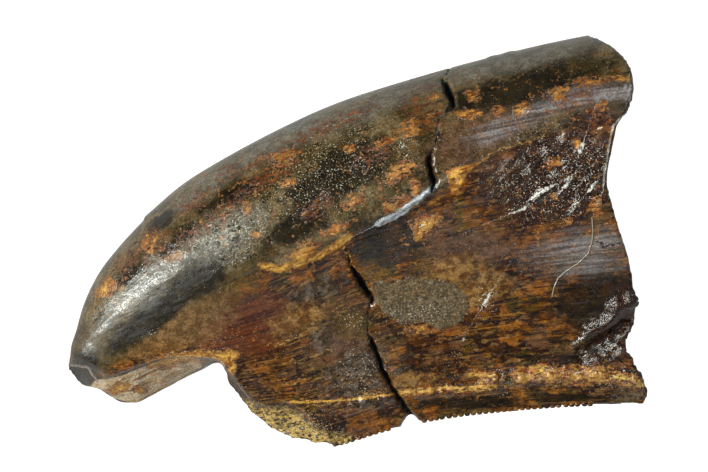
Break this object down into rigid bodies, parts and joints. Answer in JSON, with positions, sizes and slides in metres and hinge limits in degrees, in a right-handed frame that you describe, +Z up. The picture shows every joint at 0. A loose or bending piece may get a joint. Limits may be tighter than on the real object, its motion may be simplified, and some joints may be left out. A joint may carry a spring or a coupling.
{
  "type": "fossil nanotyrannus tooth",
  "caption": "Curved, flattened fossil theropod tooth crown with a serrated rear edge, a split beside the tip and a broken root end, lying on its side.",
  "frame": {"origin": "on the surface that the tooth rests on, under the middle of its bounding box", "axes": "+X from the tip towards the broken root end, +Y towards the thick rounded front edge, +Z up out of the seen face"},
  "size_m": [0.0318, 0.0226, 0.0102],
  "materials": {
    "fossil_tooth": "glossy dark brown fossil enamel and dentine with rusty spots and a matte ochre crust"
  },
  "bodies": {
    "root": {"tooth": "fossil_tooth"}
  },
  "joints": []
}
